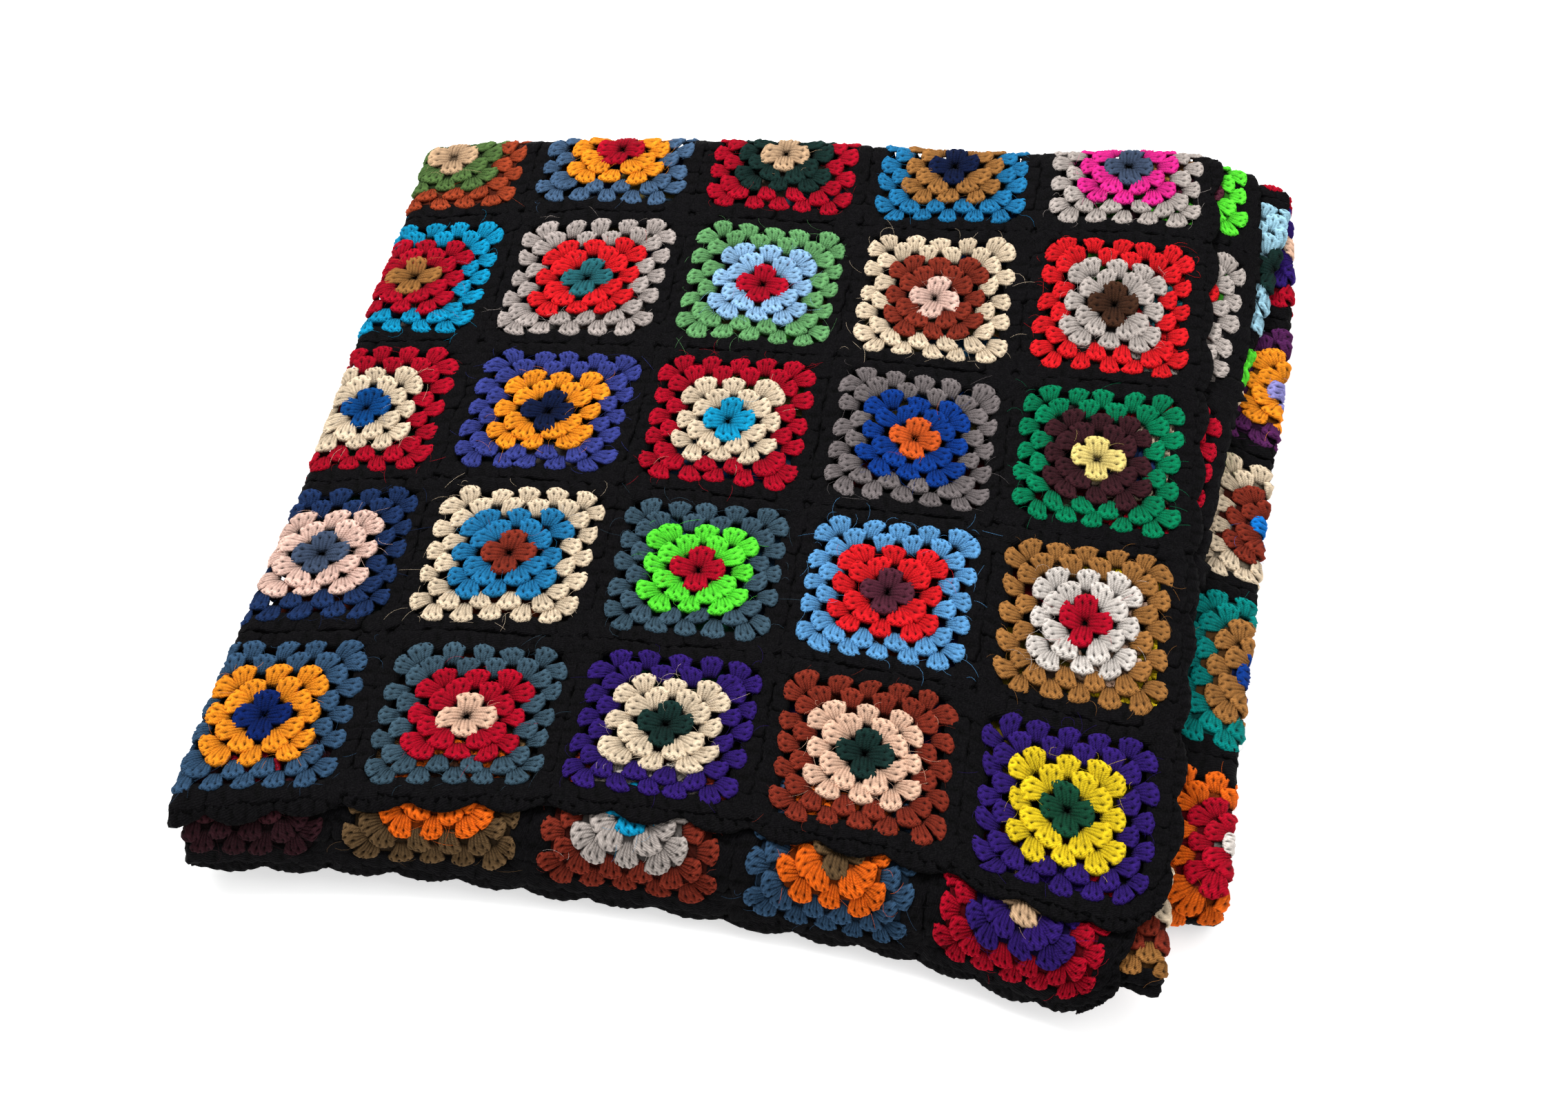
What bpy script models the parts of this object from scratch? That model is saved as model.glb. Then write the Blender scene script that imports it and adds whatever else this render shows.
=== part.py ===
"""A granny square blanket, crocheted in one piece, lying folded on a flat surface.

The open blanket is 19 squares wide and 14 squares long. It is folded in half twice
across its width, which makes a bundle of four layers, and the bundle is then folded
in three along its length, so twelve layers lie on each other. The cloth is one sheet:
each point of the open blanket, given by its squares across and its squares along, is
carried to its place in the pile, on one face of the cloth or on the other.

Metres, +Z up. The front, where two of the hems show, faces -Y. The origin is in the
middle of the pile, on the surface that it lies on.
"""

import math

import bpy
import numpy as np

# The open blanket. The border is the black edging outside the outermost squares.
SQUARE = 0.12
COLUMNS = 19
ROWS = 14
BORDER = 0.006
CORNER = 0.010
CORNER_REACH = 0.5
CLOTH = 0.0032

# The pile. LAYER is the step from the middle of one layer of cloth to the next.
LAYER = 0.0052
PASS = 4.25 * SQUARE
TURN = 2 * math.pi * LAYER
MIDDLE_X = 0.0355
MIDDLE_Y = -0.0392

# Fold radii at the middle of the cloth, and the gap in which the inner fold nests
WIDE_FOLD = 1.5 * LAYER
TIGHT_FOLD = 0.5 * LAYER
NEST = 1.6 * LAYER

# Squares are a little wider or narrower than SQUARE where the cloth is eased or pulled.
TOP_EASE = 0.995
SECOND_EASE = 0.97

# The front of the top bundle bends over the edge of the pile and hangs to the surface.
HANG_ANGLE = math.radians(66)
HANG_RADIUS = 5 * LAYER

# The side hems and the folds that run along the blanket, in squares to the right of the
# middle column. A row for each place along the blanket, in squares from its front hem.
SIDE_LINES = (
    # along, top hem, left fold, right fold, second hem
    (0.0, 2.44, -2.39, 2.45, 2.20),  # front hem
    (2.4, 2.47, -2.20, 2.50, 2.49),  # middle of the top
    (4.9, 2.48, -2.10, 2.92, 2.70),  # back fold
    (5.9, 2.47, -2.10, 2.98, 2.55),  # behind the second pass
    (7.3, 2.46, -2.14, 2.89, 2.50),  # middle of the second pass
    (9.8, 2.40, -2.30, 2.74, 2.42),  # front fold
    (12.0, 2.41, -2.20, 2.70, 2.46),  # middle of the bottom
    (14.0, 2.44, -2.11, 2.81, 2.40),  # back hem
)

# The bends and folds that run across the pile, in squares behind the middle row.
# A row for each place across the pile, in squares to the right of the middle column.
CROSS_LINES = (
    # across, front bend, back fold, front fold, back hem
    (-2.4, -2.50, 1.71, -2.38, 1.78),  # left side
    (-1.2, -2.35, 1.91, -2.28, 1.90),  # left columns
    (0.0, -2.34, 2.01, -2.25, 1.94),  # middle column
    (1.2, -2.44, 2.05, -2.27, 1.90),  # right columns
    (2.4, -2.70, 2.15, -2.28, 1.93),  # top hem
    (3.0, -2.62, 2.03, -2.22, 1.84),  # right side
)

# How far the front hem hangs past the front bend, in metres, and the squares that lie
# in each part of the way from that hem to the front fold. The outer layers of a turn
# take up more of it. A row for each line that runs along the blanket.
HEM_LINES = (
    # across, hang, to the back fold, in its turn, in the second pass
    (0.0, -0.005, 4.53, 0.46, 4.62),  # top hem
    (4.75, -0.003, 4.51, 0.30, 4.62),  # left fold
    (9.5, 0.024, 5.05, 0.14, 4.52),  # right fold
    (14.3, 0.044, 4.86, 0.27, 4.50),  # inner left fold
    (16.3, 0.056, 4.96, 0.30, 4.46),  # where the front hangs lowest
    (19.0, 0.050, 4.98, 0.34, 4.40),  # second hem
)

# The right side sinks where half of the layers have ended, the middle rows bow
# forward, and the pile is slightly wavy, more so towards its top.
SINK = 4 * LAYER
SINK_FROM = 2.38 * SQUARE
SINK_TO = 2.94 * SQUARE
SINK_FRONT = -2.3 * SQUARE
SINK_BACK = 2.0 * SQUARE
SINK_FRONT_FADE = 0.6 * SQUARE
SINK_BACK_FADE = 1.5 * SQUARE
BOW = 0.05 * SQUARE
BOW_WIDTH = 5 * SQUARE
WAVE = 0.0020
WAVE_LENGTH_X = 0.31
WAVE_LENGTH_Y = 0.26
WAVE_START_X = 0.6
WAVE_START_Y = 0.4

# Steps of the mesh across the blanket: a row for each run of cloth between two side
# lines, with finer steps on the share of it that lies over the sinking right side.
RUNS = (
    # steps, fine steps, share of the fine steps, whether they come first
    (7, 2, 0.06, True),  # top layer
    (6, 0, 0.0, False),  # left fold
    (6, 5, 0.14, False),  # bottom layer
    (4, 0, 0.0, False),  # right fold
    (6, 5, 0.14, True),  # third layer
    (4, 0, 0.0, False),  # inner left fold
    (6, 5, 0.13, False),  # second layer
)

# Steps of the mesh along the blanket: the hanging front, then each pass and turn.
ALONG_STEPS = (6, 7, 6, 6, 6, 7)

# The first of these parts reaches this far behind the front bend, so that it has a
# length where the hem doesn't hang.
BEND_START = 0.020

# The side lines move with the place along and the turns with the place across, so the
# mesh's points are settled in rounds.
GRID_ROUNDS = 4

WOOL_BLACK = (0.012, 0.011, 0.013, 1.0)
WOOL_ROUGHNESS = 0.95


def smooth_curve(table, value_column, at):
    """The value at a place in a table, on a smooth curve through its rows."""
    stations = np.array([row[0] for row in table])
    values = np.array([row[value_column] for row in table])
    slopes = np.gradient(values, stations)
    at = np.clip(at, stations[0], stations[-1])
    row = np.clip(np.searchsorted(stations, at, side="right") - 1, 0, len(table) - 2)
    width = stations[row + 1] - stations[row]
    s = (at - stations[row]) / width
    start = (1 + 2 * s) * values[row] + s * width * slopes[row]
    end = (3 - 2 * s) * values[row + 1] - (1 - s) * width * slopes[row + 1]
    return (1 - s) ** 2 * start + s**2 * end


def eased_steps(table, value_column, at):
    """The value at a place in a table, level at each row and eased between rows."""
    stations = np.array([row[0] for row in table])
    values = np.array([row[value_column] for row in table])
    at = np.clip(at, stations[0], stations[-1])
    row = np.clip(np.searchsorted(stations, at, side="right") - 1, 0, len(table) - 2)
    rise = smooth_step((at - stations[row]) / (stations[row + 1] - stations[row]))
    return values[row] * (1 - rise) + values[row + 1] * rise


def smooth_step(share):
    share = np.clip(share, 0, 1)
    return share * share * (3 - 2 * share)


def side_lines(along):
    """The top hem, left fold, right fold and second hem at a place along the blanket."""
    return [SQUARE * smooth_curve(SIDE_LINES, k, along) for k in (1, 2, 3, 4)]


def run_ends(along):
    """Squares across at which each run ends: three flat runs and folds, and the last run."""
    top_hem, left, _, second_hem = side_lines(along)
    wide = math.pi * WIDE_FOLD / 2 / SQUARE
    tight = math.pi * TIGHT_FOLD / 2 / SQUARE
    left_turn = (top_hem - left - WIDE_FOLD) / (SQUARE * TOP_EASE) + wide
    right_turn = COLUMNS / 2
    inner = left + NEST + TIGHT_FOLD
    inner_turn = COLUMNS - (second_hem - inner) / (SQUARE * SECOND_EASE) - tight
    return (
        left_turn - wide,
        left_turn + wide,
        right_turn - tight,
        right_turn + tight,
        inner_turn - tight,
        inner_turn + tight,
    )


def across_pile(across, along):
    """Where a point of the open blanket lies across its bundle of four layers.

    Returns x, the height over the middle of the bundle, and the x and height parts of
    the direction in which the cloth's face points.
    """
    top_hem, left, right, second_hem = side_lines(along)
    ends = run_ends(along)
    run = sum((across >= end).astype(int) for end in ends)
    starts = np.choose(np.clip(run - 1, 0, 5), ends)
    stops = np.choose(np.clip(run, 0, 5), ends)
    share = (across - starts) / np.where(run % 6 == 0, 1, stops - starts)
    sine, cosine = np.sin(math.pi * share), np.cos(math.pi * share)
    wide_x = left + WIDE_FOLD
    inner_x = left + NEST + TIGHT_FOLD
    right_x = right - TIGHT_FOLD
    x = np.choose(run, (
        top_hem - across * SQUARE * TOP_EASE,
        wide_x - WIDE_FOLD * sine,
        wide_x + (right_x - wide_x) * share,
        right_x + TIGHT_FOLD * sine,
        right_x + (inner_x - right_x) * share,
        inner_x - TIGHT_FOLD * sine,
        second_hem - (COLUMNS - across) * SQUARE * SECOND_EASE,
    ))
    level = np.ones_like(x)
    height = np.choose(run, (
        WIDE_FOLD * level,
        WIDE_FOLD * cosine,
        -WIDE_FOLD * level,
        -2 * TIGHT_FOLD - TIGHT_FOLD * cosine,
        -TIGHT_FOLD * level,
        -TIGHT_FOLD * cosine,
        TIGHT_FOLD * level,
    ))
    face_x = np.choose(run, (0 * level, -sine, 0 * level, sine, 0 * level, sine, 0 * level))
    face_up = np.choose(run, (level, cosine, -level, -cosine, level, cosine, -level))
    return x, height, face_x, face_up


def turn_places(across):
    """The hang of the front hem, and the squares along at which each turn starts and ends."""
    hang, back, turn, second = (eased_steps(HEM_LINES, k, across) for k in (1, 2, 3, 4))
    front = back + turn + second
    front_turn = 2 * TURN / SQUARE - turn
    return hang, back, back + turn, front, front + front_turn


def along_pile(across, along):
    """How far a point lies along its bundle's middle, from the front bend."""
    hang, *ends = turn_places(across)
    ends = [0 * across, *ends, 0 * across + ROWS]
    lengths = (-hang, PASS, PASS + TURN, 2 * PASS + TURN, 2 * (PASS + TURN), 3 * PASS + 2 * TURN)
    part = sum((along >= end).astype(int) for end in ends[1:-1])
    start, stop = np.choose(part, ends[:-1]), np.choose(part, ends[1:])
    low = np.choose(part, [length + 0 * across for length in lengths[:-1]])
    high = np.choose(part, [length + 0 * across for length in lengths[1:]])
    return low + (high - low) * (along - start) / (stop - start)


def lay_down(x, height, distance):
    """Carries a point of the bundle to its y and z in the folded pile."""
    lines = [SQUARE * smooth_curve(CROSS_LINES, k, x / SQUARE) for k in (1, 2, 3, 4)]
    bend, back, front, edge = lines
    lowest = WIDE_FOLD + CLOTH / 2
    fold = 2 * LAYER
    hang_turn = np.clip(-distance / HANG_RADIUS, 0, HANG_ANGLE)
    straight = np.clip(-distance - HANG_RADIUS * HANG_ANGLE, 0, None)
    hang_y = (HANG_RADIUS + height) * np.sin(hang_turn) + straight * math.cos(HANG_ANGLE)
    hang_z = (HANG_RADIUS + height) * np.cos(hang_turn) - straight * math.sin(HANG_ANGLE)
    share = distance / PASS
    off_middle = np.clip(x / BOW_WIDTH, -0.5, 0.5)
    bow = BOW * 4 * share * (1 - share) * np.cos(math.pi * off_middle)
    back_turn = (distance - PASS) / fold
    second = (distance - PASS - TURN) / PASS
    front_turn = (distance - 2 * PASS - TURN) / fold
    third = (distance - 2 * PASS - 2 * TURN) / PASS
    part = sum((distance >= d).astype(int) for d in (
        0, PASS, PASS + TURN, 2 * PASS + TURN, 2 * PASS + 2 * TURN))
    y = np.choose(part, (
        bend - hang_y,
        bend + (back - bend) * share - bow,
        back + (fold + height) * np.sin(back_turn),
        back + (front - back) * second,
        front - (fold - height) * np.sin(front_turn),
        front + (edge - front) * third,
    ))
    z = np.choose(part, (
        lowest + 4 * fold - HANG_RADIUS + hang_z,
        lowest + 4 * fold + height,
        lowest + 3 * fold + (fold + height) * np.cos(back_turn),
        lowest + 2 * fold - height,
        lowest + fold + (fold - height) * np.cos(front_turn),
        lowest + height,
    ))
    return y, z


def soften(x, y, z):
    """Sinks the right side and adds slow waves that leave the underside flat."""
    sunk = smooth_step((x - SINK_FROM) / (SINK_TO - SINK_FROM))
    between = smooth_step((y - SINK_FRONT) / SINK_FRONT_FADE)
    between = between * smooth_step((SINK_BACK - y) / SINK_BACK_FADE)
    free = np.clip((z - 2 * LAYER) / (4 * LAYER), 0, 1)
    top = 12 * LAYER
    wave_x = np.sin(2 * math.pi * x / WAVE_LENGTH_X + WAVE_START_X)
    wave_y = np.sin(2 * math.pi * y / WAVE_LENGTH_Y + WAVE_START_Y)
    return z - SINK * sunk * between * free + WAVE * wave_x * wave_y * z / top


def place(across, along, lift):
    """The place in the pile of a point of the open blanket, lift metres off its middle."""
    x, height, face_x, face_up = across_pile(across, along)
    x = x + lift * face_x
    height = height + lift * face_up
    y, z = lay_down(x, height, along_pile(across, along))
    z = soften(x, y, z)
    return np.stack([x - MIDDLE_X, y - MIDDLE_Y, z], axis=-1)


def step_shares(steps, fine_steps, fine_share, fine_first):
    """Shares of one run at which the mesh has points, without the run's end."""
    fine = np.linspace(0, fine_share, fine_steps, endpoint=False)
    coarse = np.linspace(fine_share, 1, steps, endpoint=False)
    shares = np.concatenate([fine, coarse])
    return shares if fine_first or not fine_steps else (1 - np.append(shares, 1))[:0:-1]


def between_ends(ends, shares):
    """Places between the ends of numbered parts: 2.5 is halfway along part 2."""
    part = np.minimum(shares.astype(int), len(ends) - 2)
    within = shares - part
    return np.choose(part, ends[:-1]) * (1 - within) + np.choose(part, ends[1:]) * within


def open_blanket_points():
    """Squares across and along of each mesh point, as two grids of the same shape."""
    edge = BORDER / SQUARE
    along_shares = [
        part + np.linspace(0, 1, steps, endpoint=False)
        for part, steps in enumerate(ALONG_STEPS)
    ]
    along_shares = np.append(np.concatenate(along_shares), len(ALONG_STEPS))
    across_shares = [run + step_shares(*row) for run, row in enumerate(RUNS)]
    across_shares = np.append(np.concatenate(across_shares), len(RUNS))

    across_grid = np.full((len(across_shares), len(along_shares)), 0.0)
    along_grid = along_shares[None, :] / len(ALONG_STEPS) * ROWS + across_grid
    for _ in range(GRID_ROUNDS):
        ends = [np.full_like(along_grid, -edge), *run_ends(along_grid)]
        ends.append(np.full_like(along_grid, COLUMNS + edge))
        across_grid = between_ends(ends, across_shares[:, None] + 0 * along_grid)

        hang, back, *turns = turn_places(across_grid)
        bend = back * (hang + BEND_START) / (PASS + hang)
        first, last = np.full_like(back, -edge), np.full_like(back, ROWS + edge)
        ends = [first, bend, back, *turns, last]
        along_grid = between_ends(ends, along_shares[None, :] + 0 * across_grid)
    return across_grid, along_grid


def rounded_corners(across, along):
    """Draws the four corners of the open blanket in, so that they are slightly round."""
    for corner_across, toward_across in ((0, 1), (COLUMNS, -1)):
        for corner_along, toward_along in ((0, 1), (ROWS, -1)):
            off_across = toward_across * (across - corner_across) / CORNER_REACH
            off_along = toward_along * (along - corner_along) / CORNER_REACH
            near = np.clip(1 - off_across, 0, 1) * np.clip(1 - off_along, 0, 1)
            pull = CORNER / SQUARE * near**2
            across = across + toward_across * pull
            along = along + toward_along * pull
    return across, along


def sheet_faces(rows, columns):
    """Four-sided faces of a closed sheet: both sides of the grid and its four rims."""
    index = np.arange(rows * columns).reshape(rows, columns)
    under = index + rows * columns
    a, b, c, d = index[:-1, :-1], index[1:, :-1], index[1:, 1:], index[:-1, 1:]
    faces = [np.stack([a, d, c, b], axis=-1).reshape(-1, 4)]
    a, b, c, d = under[:-1, :-1], under[1:, :-1], under[1:, 1:], under[:-1, 1:]
    faces.append(np.stack([a, b, c, d], axis=-1).reshape(-1, 4))
    rim = np.concatenate([index[0, :-1], index[:-1, -1], index[-1, :0:-1], index[:0:-1, 0]])
    after = np.roll(rim, -1)
    faces.append(np.stack([after, rim, rim + rows * columns, after + rows * columns], axis=-1))
    return np.concatenate(faces)


def wool_material():
    material = bpy.data.materials.new("black_wool")
    material.use_nodes = True
    shader = material.node_tree.nodes["Principled BSDF"]
    shader.inputs["Base Color"].default_value = WOOL_BLACK
    shader.inputs["Roughness"].default_value = WOOL_ROUGHNESS
    shader.inputs["Metallic"].default_value = 0.0
    return material


def make_blanket():
    across, along = rounded_corners(*open_blanket_points())
    faces = sheet_faces(*across.shape)
    points = np.concatenate([
        place(across, along, CLOTH / 2).reshape(-1, 3),
        place(across, along, -CLOTH / 2).reshape(-1, 3),
    ])
    mesh = bpy.data.meshes.new("blanket")
    mesh.from_pydata(points.tolist(), [], faces.tolist())
    mesh.shade_smooth()
    mesh.materials.append(wool_material())
    blanket = bpy.data.objects.new("blanket", mesh)
    bpy.context.scene.collection.objects.link(blanket)
    return blanket


for old in list(bpy.data.objects):
    bpy.data.objects.remove(old, do_unlink=True)
make_blanket()
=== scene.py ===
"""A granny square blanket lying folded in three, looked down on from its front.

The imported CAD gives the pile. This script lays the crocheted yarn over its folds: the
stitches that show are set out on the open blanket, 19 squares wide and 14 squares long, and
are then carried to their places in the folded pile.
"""

import math

import bpy
import numpy as np
from mathutils import Matrix, Vector


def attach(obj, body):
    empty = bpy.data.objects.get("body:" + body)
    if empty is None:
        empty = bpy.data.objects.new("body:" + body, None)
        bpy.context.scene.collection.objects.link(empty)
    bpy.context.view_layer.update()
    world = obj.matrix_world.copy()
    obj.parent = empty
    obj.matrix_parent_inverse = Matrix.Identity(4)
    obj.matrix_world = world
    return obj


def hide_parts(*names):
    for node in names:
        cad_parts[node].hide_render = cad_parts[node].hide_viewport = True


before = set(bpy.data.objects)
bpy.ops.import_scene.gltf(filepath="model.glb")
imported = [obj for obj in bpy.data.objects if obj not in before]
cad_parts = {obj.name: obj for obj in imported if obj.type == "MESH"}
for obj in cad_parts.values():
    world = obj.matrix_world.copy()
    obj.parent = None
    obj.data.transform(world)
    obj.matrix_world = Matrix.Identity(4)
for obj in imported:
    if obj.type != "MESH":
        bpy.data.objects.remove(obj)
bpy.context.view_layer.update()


# The ground of the blanket: one thin crocheted sheet folded into twelve layers, with
# the rings of each square in its yarns, darkened with painted shade for the shadow under
# the stitches. It is left out where the stitches show in full.
# The folds are those of the CAD solid: a sheet of squares, folded across and then along.
SQUARE = 0.12
COLUMNS = 19
ROWS = 14
BORDER = 0.006
LAYER = 0.0052
PASS = 4.25 * SQUARE
TURN = 2 * math.pi * LAYER
MIDDLE_X = 0.0355
MIDDLE_Y = -0.0392
CLOTH = 0.0032
WIDE_FOLD = 1.5 * LAYER
TIGHT_FOLD = 0.5 * LAYER
NEST = 1.6 * LAYER
TOP_EASE = 0.995
SECOND_EASE = 0.97
HANG_ANGLE = math.radians(66)
HANG_RADIUS = 5 * LAYER
SINK = 4 * LAYER
SINK_FROM = 2.38 * SQUARE
SINK_TO = 2.94 * SQUARE
SINK_FRONT = -2.3 * SQUARE
SINK_BACK = 2.0 * SQUARE
SINK_FRONT_FADE = 0.6 * SQUARE
SINK_BACK_FADE = 1.5 * SQUARE
BOW = 0.05 * SQUARE
BOW_WIDTH = 5 * SQUARE
WAVE = 0.0020
WAVE_LENGTH_X = 0.31
WAVE_LENGTH_Y = 0.26
WAVE_START_X = 0.6
WAVE_START_Y = 0.4

# How far the cloth is drawn within its own surface, in squares, and where that fades out.
CORNER_PULL = 0.010 / SQUARE
CORNER_REACH = 0.5
TOP_COLUMNS = 5
LEFT_FOLD = 4.5
TOP_FADE = 2
BACK_PULL = 0.06
BACK_PULL_FROM = 2.2
BACK_PULL_OVER = 1.6
FRONT_PULL = 0.1
FRONT_PULL_FROM = 2
FRONT_PULL_OVER = 3
FRONT_PULL_DEPTH = 2
FOLD_PULL = 0.09
FOLD_PULL_AT = (9.5, 8)
SECOND_PULL_DEPTH = 1.5
SECOND_PULLS = (
    # across, pull across and along at the front hem of the second layer
    (12.5, 0.0, 0.0),
    (14.0, 0.065, 0.035),
    (16.4, 0.065, 0.030),
    (17.5, 0.125, 0.0),
    (18.5, 0.030, 0.0),
    (19.0, 0.0, 0.0),
)

SIDE_LINES = (
    # along, top hem, left fold, right fold, second hem: squares right of the middle column
    (0.0, 2.44, -2.39, 2.45, 2.20),
    (2.4, 2.47, -2.20, 2.50, 2.49),
    (4.9, 2.48, -2.10, 2.92, 2.70),
    (5.9, 2.47, -2.10, 2.98, 2.55),
    (7.3, 2.46, -2.14, 2.89, 2.50),
    (9.8, 2.40, -2.30, 2.74, 2.42),
    (12.0, 2.41, -2.20, 2.70, 2.46),
    (14.0, 2.44, -2.11, 2.81, 2.40),
)
CROSS_LINES = (
    # across, front bend, back fold, front fold, back hem: squares behind the middle row
    (-2.4, -2.50, 1.71, -2.38, 1.78),
    (-1.2, -2.35, 1.91, -2.28, 1.90),
    (0.0, -2.34, 2.01, -2.25, 1.94),
    (1.2, -2.44, 2.05, -2.27, 1.90),
    (2.4, -2.70, 2.15, -2.28, 1.93),
    (3.0, -2.62, 2.03, -2.22, 1.84),
)
HEM_LINES = (
    # across, hang, squares to the back fold, in its turn, in the second pass
    (0.0, -0.005, 4.53, 0.46, 4.62),
    (4.75, -0.003, 4.51, 0.30, 4.62),
    (9.5, 0.024, 5.05, 0.14, 4.52),
    (14.3, 0.044, 4.86, 0.27, 4.50),
    (16.3, 0.056, 4.96, 0.30, 4.46),
    (19.0, 0.050, 4.98, 0.34, 4.40),
)


def smooth_step(share):
    share = np.clip(share, 0, 1)
    return share * share * (3 - 2 * share)


def smooth_curve(table, value_column, at):
    """The value at a place in a table, on a smooth curve through its rows."""
    stations = np.array([row[0] for row in table])
    values = np.array([row[value_column] for row in table])
    slopes = np.gradient(values, stations)
    at = np.clip(at, stations[0], stations[-1])
    row = np.clip(np.searchsorted(stations, at, side="right") - 1, 0, len(table) - 2)
    width = stations[row + 1] - stations[row]
    s = (at - stations[row]) / width
    start = (1 + 2 * s) * values[row] + s * width * slopes[row]
    end = (3 - 2 * s) * values[row + 1] - (1 - s) * width * slopes[row + 1]
    return (1 - s) ** 2 * start + s**2 * end


def eased_steps(table, value_column, at):
    """The value at a place in a table, level at each row and eased between rows."""
    stations = np.array([row[0] for row in table])
    values = np.array([row[value_column] for row in table])
    at = np.clip(at, stations[0], stations[-1])
    row = np.clip(np.searchsorted(stations, at, side="right") - 1, 0, len(table) - 2)
    rise = smooth_step((at - stations[row]) / (stations[row + 1] - stations[row]))
    return values[row] * (1 - rise) + values[row + 1] * rise


def run_ends(along, top_hem, left, second_hem):
    """Squares across at which the flat runs and the folds of the bundle end."""
    wide = math.pi * WIDE_FOLD / 2 / SQUARE
    tight = math.pi * TIGHT_FOLD / 2 / SQUARE
    left_turn = (top_hem - left - WIDE_FOLD) / (SQUARE * TOP_EASE) + wide
    inner = left + NEST + TIGHT_FOLD
    inner_turn = COLUMNS - (second_hem - inner) / (SQUARE * SECOND_EASE) - tight
    half = COLUMNS / 2 + 0 * along
    return (left_turn - wide, left_turn + wide, half - tight, half + tight,
            inner_turn - tight, inner_turn + tight)


def across_pile(across, along):
    """x, the height in the bundle of four layers, and the way the cloth's face points."""
    top_hem, left, right, second_hem = (
        SQUARE * smooth_curve(SIDE_LINES, k, along) for k in (1, 2, 3, 4))
    ends = run_ends(along, top_hem, left, second_hem)
    run = sum((across >= end).astype(int) for end in ends)
    starts = np.choose(np.clip(run - 1, 0, 5), ends)
    stops = np.choose(np.clip(run, 0, 5), ends)
    share = (across - starts) / np.where(run % 6 == 0, 1, stops - starts)
    sine, cosine = np.sin(math.pi * share), np.cos(math.pi * share)
    wide_x = left + WIDE_FOLD
    inner_x = left + NEST + TIGHT_FOLD
    right_x = right - TIGHT_FOLD
    x = np.choose(run, (
        top_hem - across * SQUARE * TOP_EASE,
        wide_x - WIDE_FOLD * sine,
        wide_x + (right_x - wide_x) * share,
        right_x + TIGHT_FOLD * sine,
        right_x + (inner_x - right_x) * share,
        inner_x - TIGHT_FOLD * sine,
        second_hem - (COLUMNS - across) * SQUARE * SECOND_EASE,
    ))
    level = np.ones_like(x)
    height = np.choose(run, (
        WIDE_FOLD * level, WIDE_FOLD * cosine, -WIDE_FOLD * level,
        -2 * TIGHT_FOLD - TIGHT_FOLD * cosine, -TIGHT_FOLD * level,
        -TIGHT_FOLD * cosine, TIGHT_FOLD * level,
    ))
    none = 0 * level
    face_x = np.choose(run, (none, -sine, none, sine, none, sine, none))
    face_up = np.choose(run, (level, cosine, -level, -cosine, level, cosine, -level))
    return x, height, face_x, face_up


def along_pile(across, along):
    """How far a point lies along its bundle's middle, from the front bend."""
    hang, back, turn, second = (eased_steps(HEM_LINES, k, across) for k in (1, 2, 3, 4))
    front = back + turn + second
    none = 0 * across
    ends = [none, back, back + turn, front, front + 2 * TURN / SQUARE - turn, none + ROWS]
    lengths = (
        -hang, PASS, PASS + TURN, 2 * PASS + TURN, 2 * (PASS + TURN), 3 * PASS + 2 * TURN)
    part = sum((along >= end).astype(int) for end in ends[1:-1])
    start, stop = np.choose(part, ends[:-1]), np.choose(part, ends[1:])
    low = np.choose(part, [length + none for length in lengths[:-1]])
    high = np.choose(part, [length + none for length in lengths[1:]])
    return low + (high - low) * (along - start) / (stop - start)


def lay_down(x, height, distance):
    """Carries a point of the bundle to its y and z in the folded pile."""
    bend, back, front, edge = (
        SQUARE * smooth_curve(CROSS_LINES, k, x / SQUARE) for k in (1, 2, 3, 4))
    lowest = WIDE_FOLD + CLOTH / 2
    fold = 2 * LAYER
    hang_turn = np.clip(-distance / HANG_RADIUS, 0, HANG_ANGLE)
    straight = np.clip(-distance - HANG_RADIUS * HANG_ANGLE, 0, None)
    hang_y = (HANG_RADIUS + height) * np.sin(hang_turn) + straight * math.cos(HANG_ANGLE)
    hang_z = (HANG_RADIUS + height) * np.cos(hang_turn) - straight * math.sin(HANG_ANGLE)
    share = distance / PASS
    bow = BOW * 4 * share * (1 - share) * np.cos(math.pi * np.clip(x / BOW_WIDTH, -0.5, 0.5))
    back_turn = (distance - PASS) / fold
    second = (distance - PASS - TURN) / PASS
    front_turn = (distance - 2 * PASS - TURN) / fold
    third = (distance - 2 * PASS - 2 * TURN) / PASS
    part = sum((distance >= d).astype(int) for d in (
        0, PASS, PASS + TURN, 2 * PASS + TURN, 2 * PASS + 2 * TURN))
    y = np.choose(part, (
        bend - hang_y,
        bend + (back - bend) * share - bow,
        back + (fold + height) * np.sin(back_turn),
        back + (front - back) * second,
        front - (fold - height) * np.sin(front_turn),
        front + (edge - front) * third,
    ))
    z = np.choose(part, (
        lowest + 4 * fold - HANG_RADIUS + hang_z,
        lowest + 4 * fold + height,
        lowest + 3 * fold + (fold + height) * np.cos(back_turn),
        lowest + 2 * fold - height,
        lowest + fold + (fold - height) * np.cos(front_turn),
        lowest + height,
    ))
    return y, z


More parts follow.
